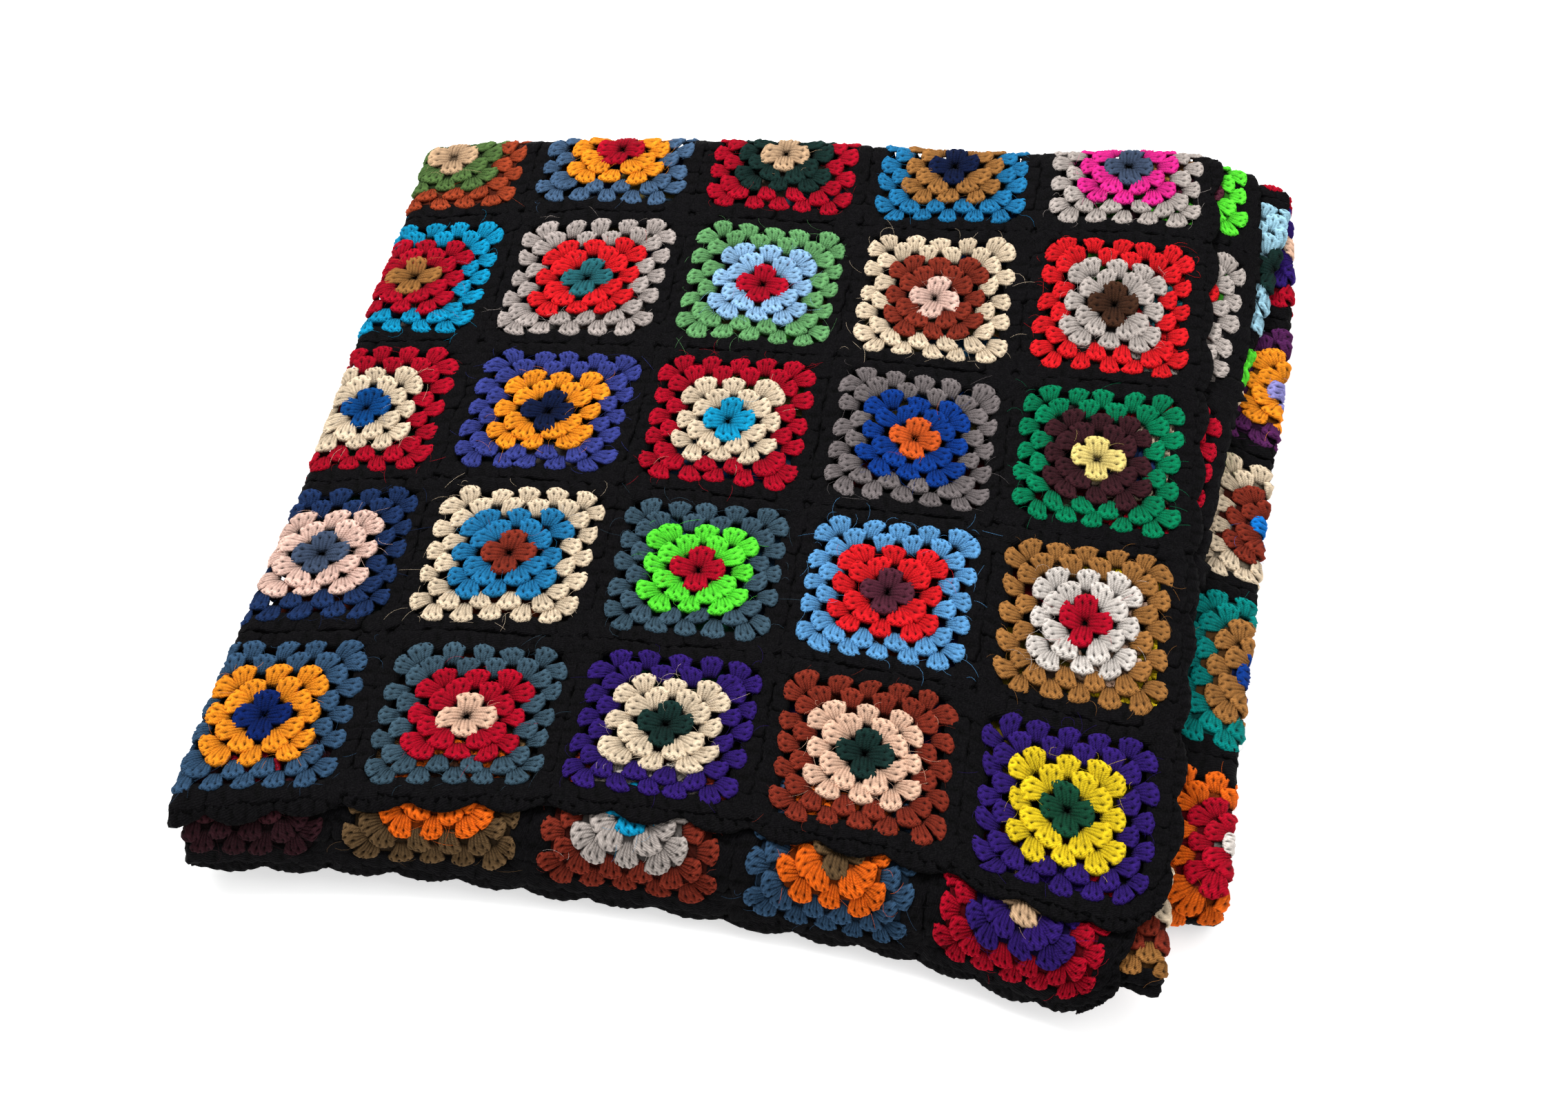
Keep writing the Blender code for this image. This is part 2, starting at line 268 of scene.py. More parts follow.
def drawn(across, along):
    """Where the cloth has been drawn to within its own surface, in squares.

    Its four corners are pulled in and slightly round. The top layer is drawn towards its
    right hem at the back, and over the front bend near the left fold. The second layer is
    drawn aside at its front, and the right fold backwards where its middle shows.
    """
    for corner_across, toward_across in ((0, 1), (COLUMNS, -1)):
        for corner_along, toward_along in ((0, 1), (ROWS, -1)):
            off_across = toward_across * (across - corner_across) / CORNER_REACH
            off_along = toward_along * (along - corner_along) / CORNER_REACH
            near = np.clip(1 - off_across, 0, 1) * np.clip(1 - off_along, 0, 1)
            across = across + toward_across * CORNER_PULL * near**2
            along = along + toward_along * CORNER_PULL * near**2
    on_top = 1 - smooth_step((across - TOP_COLUMNS) / TOP_FADE)
    back = smooth_step((along - BACK_PULL_FROM) / BACK_PULL_OVER)
    back = back * (1 - smooth_step((along - TOP_COLUMNS) / TOP_FADE))
    front = smooth_step((across - FRONT_PULL_FROM) / FRONT_PULL_OVER)
    front = front * (1 - smooth_step(along / FRONT_PULL_DEPTH))
    across = across - BACK_PULL * on_top * back * np.clip(across / LEFT_FOLD, 0, 1)
    hem_share = 1 - smooth_step(along / SECOND_PULL_DEPTH)
    across_pull, along_pull = (smooth_curve(SECOND_PULLS, k, across) for k in (1, 2))
    at_fold = smooth_step(1 - abs(across - FOLD_PULL_AT[0]))
    at_fold = at_fold * smooth_step(1 - abs(along - FOLD_PULL_AT[1]))
    along = along - FRONT_PULL * on_top * front - FOLD_PULL * at_fold
    return across + across_pull * hem_share, along + along_pull * hem_share


def place(across, along, lift):
    """The place in the pile of a point of the open blanket, lift metres off its middle."""
    across, along = drawn(across, along)
    x, height, face_x, face_up = across_pile(across, along)
    x = x + lift * face_x
    y, z = lay_down(x, height + lift * face_up, along_pile(across, along))
    sunk = smooth_step((x - SINK_FROM) / (SINK_TO - SINK_FROM))
    between = smooth_step((y - SINK_FRONT) / SINK_FRONT_FADE)
    between = between * smooth_step((SINK_BACK - y) / SINK_BACK_FADE)
    free = np.clip((z - 2 * LAYER) / (4 * LAYER), 0, 1)
    wave_x = np.sin(2 * math.pi * x / WAVE_LENGTH_X + WAVE_START_X)
    wave_y = np.sin(2 * math.pi * y / WAVE_LENGTH_Y + WAVE_START_Y)
    z = z - SINK * sunk * between * free + WAVE * wave_x * wave_y * z / (12 * LAYER)
    return np.stack([x - MIDDLE_X, y - MIDDLE_Y, z], axis=-1)


# The yarns, as sRGB. The squares that show are listed by their outer, inner and middle
# yarns. The hidden ones take three yarns each by a settled chance.
YARN_SEED = 41
YARNS = {
    "black": (6, 5, 7),
    "aubergine": (46, 20, 26),
    "maroon": (58, 26, 32),
    "dark brown": (66, 40, 26),
    "brown": (104, 80, 52),
    "rust": (133, 47, 31),
    "light rust": (164, 66, 36),
    "burnt orange": (216, 92, 34),
    "orange": (246, 108, 22),
    "amber": (254, 152, 34),
    "yellow": (236, 204, 32),
    "pale yellow": (242, 218, 130),
    "tan": (164, 112, 58),
    "beige": (204, 168, 132),
    "cream": (232, 210, 180),
    "off white": (222, 213, 205),
    "light grey": (188, 177, 170),
    "warm grey": (184, 172, 166),
    "grey": (118, 110, 110),
    "slate": (54, 84, 114),
    "light slate": (72, 100, 132),
    "blue grey": (62, 86, 101),
    "dark slate": (64, 78, 102),
    "navy": (28, 50, 92),
    "ink": (12, 26, 62),
    "deep blue": (8, 34, 98),
    "royal": (10, 58, 142),
    "mid blue": (6, 72, 138),
    "violet blue": (57, 65, 140),
    "bright blue": (16, 122, 214),
    "azure": (34, 122, 174),
    "cyan": (12, 150, 196),
    "sky": (96, 160, 214),
    "light blue": (148, 192, 232),
    "ice blue": (166, 214, 234),
    "teal": (40, 106, 114),
    "turquoise": (0, 136, 130),
    "emerald": (0, 128, 84),
    "forest": (18, 70, 48),
    "dark green": (20, 46, 42),
    "olive": (84, 114, 60),
    "sage": (106, 166, 104),
    "neon green": (94, 236, 56),
    "peach": (236, 192, 164),
    "pale pink": (236, 196, 180),
    "magenta": (236, 42, 146),
    "scarlet": (224, 26, 34),
    "crimson": (178, 6, 36),
    "dark red": (150, 12, 36),
    "plum": (88, 38, 54),
    "dark purple": (86, 34, 86),
    "purple": (49, 26, 110),
    "lavender": (150, 146, 214),
}
TOP_SQUARES = (
    # the row nearest the front first, from the right hem to the left fold
    ("purple yellow forest", "rust peach dark_green", "purple cream dark_green",
     "blue_grey crimson peach", "slate amber deep_blue"),
    ("tan off_white crimson", "sky scarlet plum", "blue_grey neon_green crimson",
     "cream azure rust", "navy pale_pink dark_slate"),
    ("emerald maroon pale_yellow", "grey royal burnt_orange", "crimson cream cyan",
     "violet_blue amber ink", "crimson cream mid_blue"),
    ("scarlet light_grey dark_brown", "cream rust pale_pink", "sage light_blue crimson",
     "warm_grey scarlet teal", "cyan crimson tan"),
    ("light_grey magenta dark_slate", "azure tan ink", "crimson dark_green beige",
     "light_slate amber crimson", "light_rust olive beige"),
)
SHOWN_BELOW = (
    # column, row, yarns: the second layer, the fold at the right, and one beside the left fold
    (14, 0, "aubergine maroon dark_red"),
    (15, 0, "brown orange dark_brown"),
    (16, 0, "rust light_grey cyan"),
    (17, 0, "slate orange brown"),
    (18, 0, "crimson purple beige"),
    (18, 2, "crimson cream navy"),
    (18, 3, "light_grey scarlet teal"),
    (18, 4, "neon_green plum tan"),
    (9, 0, "tan rust cream"),
    (9, 1, "sky cream emerald"),
    (9, 2, "sky off_white navy"),
    (9, 3, "neon_green neon_green cream"),
    (9, 4, "ice_blue ice_blue dark_green"),
    (9, 5, "crimson purple peach"),
    (9, 6, "dark_purple amber lavender"),
    (9, 7, "cream rust bright_blue"),
    (9, 8, "turquoise tan royal"),
    (9, 9, "orange crimson off_white"),
    (5, 0, "magenta off_white teal"),
)


def linear(name):
    part = np.array(YARNS[name.replace("_", " ")]) / 255
    return np.where(part < 0.04045, part / 12.92, ((part + 0.055) / 1.055) ** 2.4)


def square_yarns():
    """For each column and row, the linear colours of its outer, inner and middle yarns."""
    chance = np.random.default_rng(YARN_SEED)
    names = [name for name in YARNS if name != "black"]
    yarns = np.zeros((COLUMNS, ROWS, 3, 3))
    for column in range(COLUMNS):
        for row in range(ROWS):
            picked = chance.choice(len(names), 3, replace=False)
            yarns[column, row] = [linear(names[k]) for k in picked]
    for row, squares in enumerate(TOP_SQUARES):
        for column, text in enumerate(squares):
            yarns[column, row] = [linear(name) for name in text.split()]
    for column, row, text in SHOWN_BELOW:
        yarns[column, row] = [linear(name) for name in text.split()]
    return yarns


yarn_of = square_yarns()
BLACK = linear("black")


def wool_group():
    """Colour, fuzz and normal of wool: uneven dye, a painted sheen of light flecks, plies along
    the strand, fine fibres.
    """
    group = bpy.data.node_groups.new("Wool", "ShaderNodeTree")
    group.interface.new_socket("Yarn", in_out="INPUT", socket_type="NodeSocketColor")
    group.interface.new_socket("Colour", in_out="OUTPUT", socket_type="NodeSocketColor")
    group.interface.new_socket("Fuzz", in_out="OUTPUT", socket_type="NodeSocketColor")
    group.interface.new_socket("Normal", in_out="OUTPUT", socket_type="NodeSocketVector")
    nodes, links = group.nodes, group.links
    inward, outward = nodes.new("NodeGroupInput"), nodes.new("NodeGroupOutput")
    where = nodes.new("ShaderNodeTexCoord")

    dye = nodes.new("ShaderNodeTexNoise")
    dye.inputs["Scale"].default_value = 420
    dye.inputs["Detail"].default_value = 3
    links.new(where.outputs["Object"], dye.inputs["Vector"])
    depth = nodes.new("ShaderNodeMapRange")
    depth.inputs["From Min"].default_value = 0.3
    depth.inputs["From Max"].default_value = 0.7
    depth.inputs["To Min"].default_value = 0.80
    depth.inputs["To Max"].default_value = 1.15
    links.new(dye.outputs["Fac"], depth.inputs["Value"])
    tone = nodes.new("ShaderNodeVectorMath")
    tone.operation = "SCALE"
    links.new(inward.outputs["Yarn"], tone.inputs["Vector"])
    links.new(depth.outputs["Result"], tone.inputs["Scale"])
    # Painted sheen: faint light flecks added to the colour, for the light that the yarn's fuzz
    # catches.
    fleck = nodes.new("ShaderNodeTexNoise")
    fleck.inputs["Scale"].default_value = 900
    fleck.inputs["Detail"].default_value = 4
    fleck.inputs["Roughness"].default_value = 0.7
    links.new(where.outputs["Object"], fleck.inputs["Vector"])
    painted_sheen = nodes.new("ShaderNodeMapRange")
    painted_sheen.inputs["From Min"].default_value = 0.45
    painted_sheen.inputs["From Max"].default_value = 0.75
    painted_sheen.inputs["To Min"].default_value = 0.0
    painted_sheen.inputs["To Max"].default_value = 0.006
    links.new(fleck.outputs["Fac"], painted_sheen.inputs["Value"])
    colour_with_painted_sheen = nodes.new("ShaderNodeVectorMath")
    colour_with_painted_sheen.operation = "ADD"
    links.new(tone.outputs["Vector"], colour_with_painted_sheen.inputs[0])
    links.new(painted_sheen.outputs["Result"], colour_with_painted_sheen.inputs[1])
    links.new(colour_with_painted_sheen.outputs["Vector"], outward.inputs["Colour"])

    lighter = nodes.new("ShaderNodeMix")
    lighter.data_type = "RGBA"
    lighter.inputs["Factor"].default_value = 0.04
    lighter.inputs["B"].default_value = (1, 1, 1, 1)
    links.new(inward.outputs["Yarn"], lighter.inputs["A"])
    links.new(lighter.outputs["Result"], outward.inputs["Fuzz"])

    plies = nodes.new("ShaderNodeTexWave")
    plies.wave_type = "BANDS"
    plies.bands_direction = "DIAGONAL"
    plies.inputs["Scale"].default_value = 0.55
    plies.inputs["Distortion"].default_value = 1.0
    links.new(where.outputs["UV"], plies.inputs["Vector"])
    fibres = nodes.new("ShaderNodeTexNoise")
    fibres.inputs["Scale"].default_value = 1500
    fibres.inputs["Detail"].default_value = 4
    links.new(where.outputs["Object"], fibres.inputs["Vector"])
    ply_bump, fibre_bump = nodes.new("ShaderNodeBump"), nodes.new("ShaderNodeBump")
    ply_bump.inputs["Distance"].default_value = 0.0005
    ply_bump.inputs["Strength"].default_value = 0.5
    fibre_bump.inputs["Distance"].default_value = 0.0006
    fibre_bump.inputs["Strength"].default_value = 0.35
    links.new(plies.outputs["Fac"], ply_bump.inputs["Height"])
    links.new(fibres.outputs["Fac"], fibre_bump.inputs["Height"])
    links.new(ply_bump.outputs["Normal"], fibre_bump.inputs["Normal"])
    links.new(fibre_bump.outputs["Normal"], outward.inputs["Normal"])
    return group


def wool_material():
    """Matt wool in the yarn's colour, with a painted sheen of light flecks, its plies and a haze
    of short fibres.
    """
    material = bpy.data.materials.new("wool_yarn")
    material.use_nodes = True
    nodes, links = material.node_tree.nodes, material.node_tree.links
    shader = nodes["Principled BSDF"]
    yarn = nodes.new("ShaderNodeAttribute")
    yarn.attribute_name = "yarn"
    look = nodes.new("ShaderNodeGroup")
    look.node_tree = wool_group()
    links.new(yarn.outputs["Color"], look.inputs["Yarn"])
    links.new(look.outputs["Colour"], shader.inputs["Base Color"])
    links.new(look.outputs["Fuzz"], shader.inputs["Sheen Tint"])
    links.new(look.outputs["Normal"], shader.inputs["Normal"])
    shader.inputs["Roughness"].default_value = 0.88
    shader.inputs["Specular IOR Level"].default_value = 0.07
    shader.inputs["Sheen Weight"].default_value = 0.11
    shader.inputs["Sheen Roughness"].default_value = 0.45
    return material


wool_yarn = wool_material()


def yarn_mesh(name, points, faces, colours, strand, crease=None, per_face=False):
    """A mesh piece of the blanket. Faces is a list of index arrays, one face in each row.

    Crease numbers the creases that a point lies on, and 0 is none: an edge between two
    points of the same crease is sharp.
    """
    mesh = bpy.data.meshes.new(name)
    sizes = np.concatenate([np.full(len(part), part.shape[1]) for part in faces])
    corners = np.concatenate([part.ravel() for part in faces])
    mesh.vertices.add(len(points))
    mesh.vertices.foreach_set("co", np.asarray(points, np.float32).ravel())
    mesh.loops.add(len(corners))
    mesh.loops.foreach_set("vertex_index", corners.astype(np.int32))
    mesh.polygons.add(len(sizes))
    starts = np.concatenate([[0], np.cumsum(sizes)[:-1]])
    mesh.polygons.foreach_set("loop_start", starts.astype(np.int32))
    mesh.update(calc_edges=True)
    mesh.polygons.foreach_set("use_smooth", np.ones(len(sizes), bool))
    if crease is not None:
        ends = np.empty(2 * len(mesh.edges), np.int32)
        mesh.edges.foreach_get("vertices", ends)
        one, other = crease[ends[0::2]], crease[ends[1::2]]
        sharp = mesh.attributes.new("sharp_edge", "BOOLEAN", "EDGE")
        sharp.data.foreach_set("value", (one == other) & (one > 0))
    if per_face:
        colours = np.repeat(colours, sizes, axis=0)
    domain = "CORNER" if per_face else "POINT"
    layer = mesh.color_attributes.new("yarn", "FLOAT_COLOR", domain)
    opaque = np.c_[colours, np.ones(len(colours))]
    layer.data.foreach_set("color", opaque.astype(np.float32).ravel())
    uv = mesh.uv_layers.new(name="strand")
    uv.data.foreach_set("uv", np.asarray(strand, np.float32)[corners].ravel())
    mesh.materials.append(wool_yarn)
    piece = bpy.data.objects.new(name, mesh)
    bpy.context.scene.collection.objects.link(piece)
    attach(piece, "root")
    return piece


# Squares whose stitches are all modelled, so that the ground is left out under them.
OPEN_SQUARES = {(column, row) for column in range(4) for row in range(5)}
OPEN_SQUARES |= {(4, row) for row in range(4)}
GROUND_STEPS = 12
GROUND_RINGS = (2, 1, 1, 0, 0, 0)  # middle, inner and outer yarns, from the middle out
BLACK_RING = 5
GROUND = 0.0011
# Painted shade: the share of its yarn's colour that the ground keeps, for the shadow it lies in.
PAINTED_GROUND_SHADE = 0.15
GROUND_UV = 40


def ground():
    """Both sides of the thin sheet, its cells in the yarn of the ring they lie in, darkened with
    painted shade.
    """
    edge = BORDER / SQUARE
    across = np.arange(COLUMNS * GROUND_STEPS + 1) / GROUND_STEPS
    along = np.arange(ROWS * GROUND_STEPS + 1) / GROUND_STEPS
    across[0], across[-1] = -edge / 2, COLUMNS + edge / 2
    along[0], along[-1] = -edge / 2, ROWS + edge / 2
    grid_across, grid_along = np.meshgrid(across, along, indexing="ij")
    columns, rows = len(across), len(along)
    index = np.arange(columns * rows).reshape(columns, rows)

    cell_across = (np.arange(columns - 1) + 0.5) / GROUND_STEPS
    cell_along = (np.arange(rows - 1) + 0.5) / GROUND_STEPS
    column, row = np.meshgrid(cell_across.astype(int), cell_along.astype(int), indexing="ij")
    off = np.maximum(abs(cell_across[:, None] % 1 - 0.5), abs(cell_along[None, :] % 1 - 0.5))
    ring = (off * GROUND_STEPS).astype(int)
    kept = np.ones(ring.shape, bool)
    for open_column, open_row in OPEN_SQUARES:
        kept &= (column != open_column) | (row != open_row) | (ring == BLACK_RING)
    # Painted shade: the ground's yarns are darkened for the shadow under the stitches; the black
    # ring stays black.
    colours = yarn_of[column, row, np.choose(ring, GROUND_RINGS)] * PAINTED_GROUND_SHADE
    colours[ring == BLACK_RING] = BLACK

    a, b, c, d = index[:-1, :-1], index[1:, :-1], index[1:, 1:], index[:-1, 1:]
    top = np.stack([a, d, c, b], axis=-1)[kept]
    size = columns * rows
    under = np.stack([a, b, c, d], axis=-1)[kept] + size
    edges = np.concatenate([top[:, [k, (k + 1) % 4]] for k in range(4)])
    key = edges[:, 0] * size + edges[:, 1]
    back_key = edges[:, 1] * size + edges[:, 0]
    rim = edges[~np.isin(key, back_key)]
    sides = np.stack([rim[:, 1], rim[:, 0], rim[:, 0] + size, rim[:, 1] + size], axis=-1)
    points = np.concatenate([
        place(grid_across, grid_along, lift).reshape(-1, 3) for lift in (GROUND / 2, -GROUND / 2)])
    strand = np.stack([grid_across, grid_along], axis=-1).reshape(-1, 2) * GROUND_UV
    strand = np.tile(strand, (2, 1))
    shades = np.concatenate([colours[kept], colours[kept], np.tile(BLACK, (len(sides), 1))])
    faces = np.concatenate([top, under, sides])
    used = np.zeros(len(points), bool)
    used[faces.ravel()] = True
    number = np.cumsum(used) - 1
    return yarn_mesh(
        "ground", points[used], [number[faces]], shades, strand[used], per_face=True)


blanket_ground = ground()
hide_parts("blanket")


# The stitches: clusters of three posts that fan out from one hole of the round before
# and end in a row of chain links. Each is one closed puff of yarn, ridged by its strands.
ROUND_TOPS = (18.3, 26.8, 35.5, 44.5, 53.4, 61.5)  # mm from the square's middle
ROUND_PITCH = (19.0, 18.6, 18.6, 18.4, 18.2, 20.0)  # mm between the clusters of a side
CAP_HALF_WIDTHS = (8.3, 8.2, 7.7, 7.5, 7.2, 12.5)
BASE_HALF_WIDTHS = (6.0, 4.4, 4.0, 4.0, 3.8, 10.5)
BASE_DEPTHS = (17.0, 17.4, 15.6, 15.4, 15.2, 15.0)
ROUND_YARNS = (2, 1, 1, 0, 0, 3)  # middle, inner and outer yarns, and the black
CORNER_SPREAD = 2.2
CORNER_DRAW = 1.4
TOP_INSET = 0.6
BLACK_ROUND = 5

# How high the ridges stand across each stitch of a fan, in four steps of a stitch: along
# the posts, then at the foot, the arms and the open top of its link, and at the edge. Where a
# step falls below naught, the yarn's colour there is also darkened with painted shade.
POSTS = (-0.8, 1.0, -0.6, 1.0)
FOOT = (-1.7, 0.5, 1.0, 0.5)
ARMS = (-0.7, 1.0, -0.1, 1.0)
LINK = (0.8, 0.5, -1.5, 0.5)
EDGE = (0.2, 0.9, 0.1, 0.9)

# A fan has its columns of points, how far it is arched, how round its cap is, and rows:
# share of the length, share of the way from the base's width to the cap's, height in mm,
# depth of the ridges in mm, run of the ridges, and lightness: painted light and shade that
# multiplies the yarn's colour, low at the base and high on the arms of the links.
FULL_FAN = (13, 0.62, 0.13, (
    (0.00, 0.00, 0.2, 0.15, POSTS, 0.30),
    (0.15, 0.16, 1.7, 0.45, POSTS, 0.60),
    (0.34, 0.46, 2.5, 0.60, POSTS, 0.85),
    (0.52, 0.78, 2.9, 0.60, POSTS, 0.90),
    (0.64, 0.96, 2.9, 0.75, FOOT, 0.80),
    (0.75, 1.04, 3.5, 0.75, ARMS, 1.08),
    (0.86, 0.98, 3.4, 0.75, LINK, 1.02),
    (0.95, 0.78, 2.8, 0.50, EDGE, 0.95),
    (1.00, 0.46, 0.9, 0.20, EDGE, 0.50),
))
PLAIN_FAN = (9, 0.18, 0.13, (
    (0.00, 0.00, 0.9, 0.20, POSTS, 0.9),
    (0.30, 0.50, 2.0, 0.50, POSTS, 1.0),
    (0.62, 0.90, 2.0, 0.60, FOOT, 1.0),
    (0.84, 1.00, 2.2, 0.60, ARMS, 1.1),
    (1.00, 0.90, 1.6, 0.40, LINK, 1.0),
))
SHELL_FAN = (21, 0.22, 0.52, (
    (0.00, 0.00, 1.4, 0.20, POSTS, 0.9),
    (0.36, 0.60, 2.0, 0.50, POSTS, 1.0),
    (0.64, 0.90, 2.0, 0.60, FOOT, 1.0),
    (0.85, 1.00, 1.9, 0.60, ARMS, 1.1),
    (1.00, 0.98, 1.2, 0.40, LINK, 1.0),
))
UNDERSIDE = -1.0  # mm, how deep the middle of a cluster's underside lies
# Painted shade: the valleys between the strands are darkened in the yarn's colour.
PAINTED_VALLEY_SHADE = 0.36  # of the light of a ridge, in the valleys beside it
ARCH_END = 0.95  # share of the half circle that the arch of a fan takes
STRAND_SLANT = 0.4

# How uneven the hand's work is, in mm, as shares, or in radians for the twist.
POINT_WANDER = 0.22
HEIGHT_WANDER = 0.8
CLUSTER_LEAN = 0.10
LEAN_CURVE = 1.5
CLUSTER_RISE = 0.25
CLUSTER_SHIFT = 0.35
CAP_SHIFT = 0.6
BLACK_CAP_SHIFT = 0.7
CAP_SPREAD = (0.92, 1.08)
DYE_SPREAD = (0.9, 1.1)
SQUARE_TWIST = math.radians(2.2)
SQUARE_SKEW = 0.018
SQUARE_SHIFT = 0.9
SLACK = 0.8
SLACK_LENGTH = 18
SLACK_STARTS = (0, 6)
FREE_HALF = 60  # from a square's middle to its joins, which stay where they are
FREE_FROM = 0.72  # the share of this from which the work settles toward the joins
PUFF = 0.5
CLOTH_SINK = 0.2
LOWEST = 0.0003  # metres above the floor

CREASES = 64  # more than the creases of one cluster
POST_PITCH = 1.3  # mm of a strand for one unit of its uv


class Yarns:
    """Gathers closed clusters of yarn, in mm on the open blanket, into one mesh."""

    def __init__(self):
        self.points, self.colours, self.strands, self.creases = [], [], [], []
        self.faces, self.count = [[], []], 0

    def add(self, points, strands, shades, creases, colours, pattern, flip):
        number, clusters = points.shape[1], len(points)
        self.points.append(points.reshape(-1, 3))
        self.strands.append(strands.reshape(-1, 2))
        # The painted light and shade of each point multiply its yarn's colour.
        self.colours.append((colours[:, None, :] * shades[:, :, None]).reshape(-1, 3))
        own = np.tile(creases, (clusters, 1))
        own = np.where(own > 0, own + CREASES * np.arange(clusters)[:, None], 0)
        self.creases.append(own.ravel())
        offsets = self.count + number * np.arange(clusters)
        for kind, order in enumerate(pattern):
            order = order[:, ::-1] if flip else order
            faces = order[None] + offsets[:, None, None]
            self.faces[kind].append(faces.reshape(-1, order.shape[1]))
        self.count += number * clusters

    def piece(self, name):
        points, colours, strands, creases = (np.concatenate(part) for part in (
            self.points, self.colours, self.strands, self.creases))
        faces = [np.concatenate(part) for part in self.faces]
        return yarn_mesh(name, points, faces, colours, strands, crease=creases)


def fans(fan, base, top, half_base, half_top, chance):
    """Points of many clusters, in mm on the open blanket, with uv and the painted light and shade
    of each.
    """
    columns, crown, cap_round, rows = fan
    count, number = len(base), len(rows)
    place_in = np.arange(columns)
    s = np.linspace(-1, 1, columns)[None, None, :]
    t, wide, high, ridge, light = (
        np.array([row[k] for row in rows])[None, :, None] for k in (0, 1, 2, 3, 5))
    reach = np.linalg.norm(top - base, axis=1)[:, None, None]
    toward = ((top - base) / reach[:, :, 0])[:, :, None, None]
    aside = np.stack([toward[:, 1], -toward[:, 0]], axis=1)
    half_base, half_top = half_base[:, None, None], half_top[:, None, None]
    half = half_base + (half_top - half_base) * wide
    wander = chance.normal(0, POINT_WANDER, (3, count, number, columns))
    lean = chance.normal(0, CLUSTER_LEAN, (count, 1, 1)) * reach * t**LEAN_CURVE
    width = half * s + lean + wander[0]
    length = reach * t * (1 - cap_round * s * s * t) + wander[1]
    x = base[:, 0, None, None] + toward[:, 0] * length + aside[:, 0] * width
    y = base[:, 1, None, None] + toward[:, 1] * length + aside[:, 1] * width
    rib = np.array([row[4] for row in rows])[None][:, :, place_in % 4]
    round_top = np.sqrt(np.clip(1 - (ARCH_END * s) ** 2, 0, 1))
    z = high * (1 - crown + crown * round_top) + ridge * rib * round_top**0.5
    z = z + HEIGHT_WANDER * wander[2] * (t > 0)
    z = z + chance.normal(0, CLUSTER_RISE, (count, 1, 1)) * t
    # Painted light and shade: the row's lightness, darkened further in the valleys.
    painted_shade = light * (1 - (1 - PAINTED_VALLEY_SHADE) * np.clip(-rib, 0, None)) + 0 * x
    u = place_in[None, None, :] / 2 + 0 * x
    v = t * reach / POST_PITCH + STRAND_SLANT * u
    points = np.stack([x, y, z], axis=-1).reshape(count, -1, 3)
    below = points.mean(axis=1, keepdims=True)
    below[:, :, 2] = UNDERSIDE
    strands = np.stack([u, v], axis=-1).reshape(count, -1, 2)
    painted_shade = painted_shade.reshape(count, -1)
    points = np.concatenate([points, below], axis=1)
    strands = np.concatenate([strands, strands[:, :1]], axis=1)
    return points, strands, np.concatenate([painted_shade, painted_shade[:, :1]], axis=1)


def fan_pattern(fan):
    """The faces of one cluster, its ridged top and plain underside, and its creases."""
    columns, _, _, rows = fan
    index = np.arange(len(rows) * columns).reshape(len(rows), columns)
    a, b, c, d = index[:-1, :-1], index[:-1, 1:], index[1:, 1:], index[1:, :-1]
    quads = np.stack([a, b, c, d], axis=-1).reshape(-1, 4)
    loop = np.concatenate([
        index[0, :-1], index[:-1, -1], index[-1, :0:-1], index[:0:-1, 0]])
    middle = np.full(len(loop), len(rows) * columns)
    creases = np.zeros(index.shape, int)
    for number, row in enumerate(rows[:-1]):
        if row[4] is POSTS:
            creases[number, 2:-1:2] = np.arange(2, columns - 1, 2)
    under = np.stack([np.roll(loop, -1), loop, middle], axis=-1)
    return (quads, under), np.append(creases.ravel(), 0)


def square_clusters():
    """Base, top, half widths in mm, and round, of the 84 clusters of one square."""
    rows = []
    for k, radial in enumerate(ROUND_TOPS):
        for side in range(4):
            turn = side * math.pi / 2
            cosine, sine = math.cos(turn), math.sin(turn)
            for i in range(k + 1):
                off = i - k / 2
                x_top = off * ROUND_PITCH[k]
                x_base = x_top
                if k and abs(off) == k / 2:
                    x_top += math.copysign(CORNER_SPREAD, off)
                    x_base -= math.copysign(CORNER_DRAW, off)
                y_top, y_base = radial - TOP_INSET, radial - BASE_DEPTHS[k]
                rows.append((
                    cosine * x_base - sine * y_base, sine * x_base + cosine * y_base,
                    cosine * x_top - sine * y_top, sine * x_top + cosine * y_top,
                    BASE_HALF_WIDTHS[k], CAP_HALF_WIDTHS[k], k,
                ))
    return np.array(rows)


SQUARE_CLUSTERS = square_clusters()


def settled_chance(name):
    """A source of chance that is fixed by the name of a piece."""
    return np.random.default_rng(sum((k + 1) * ord(letter) for k, letter in enumerate(name)))


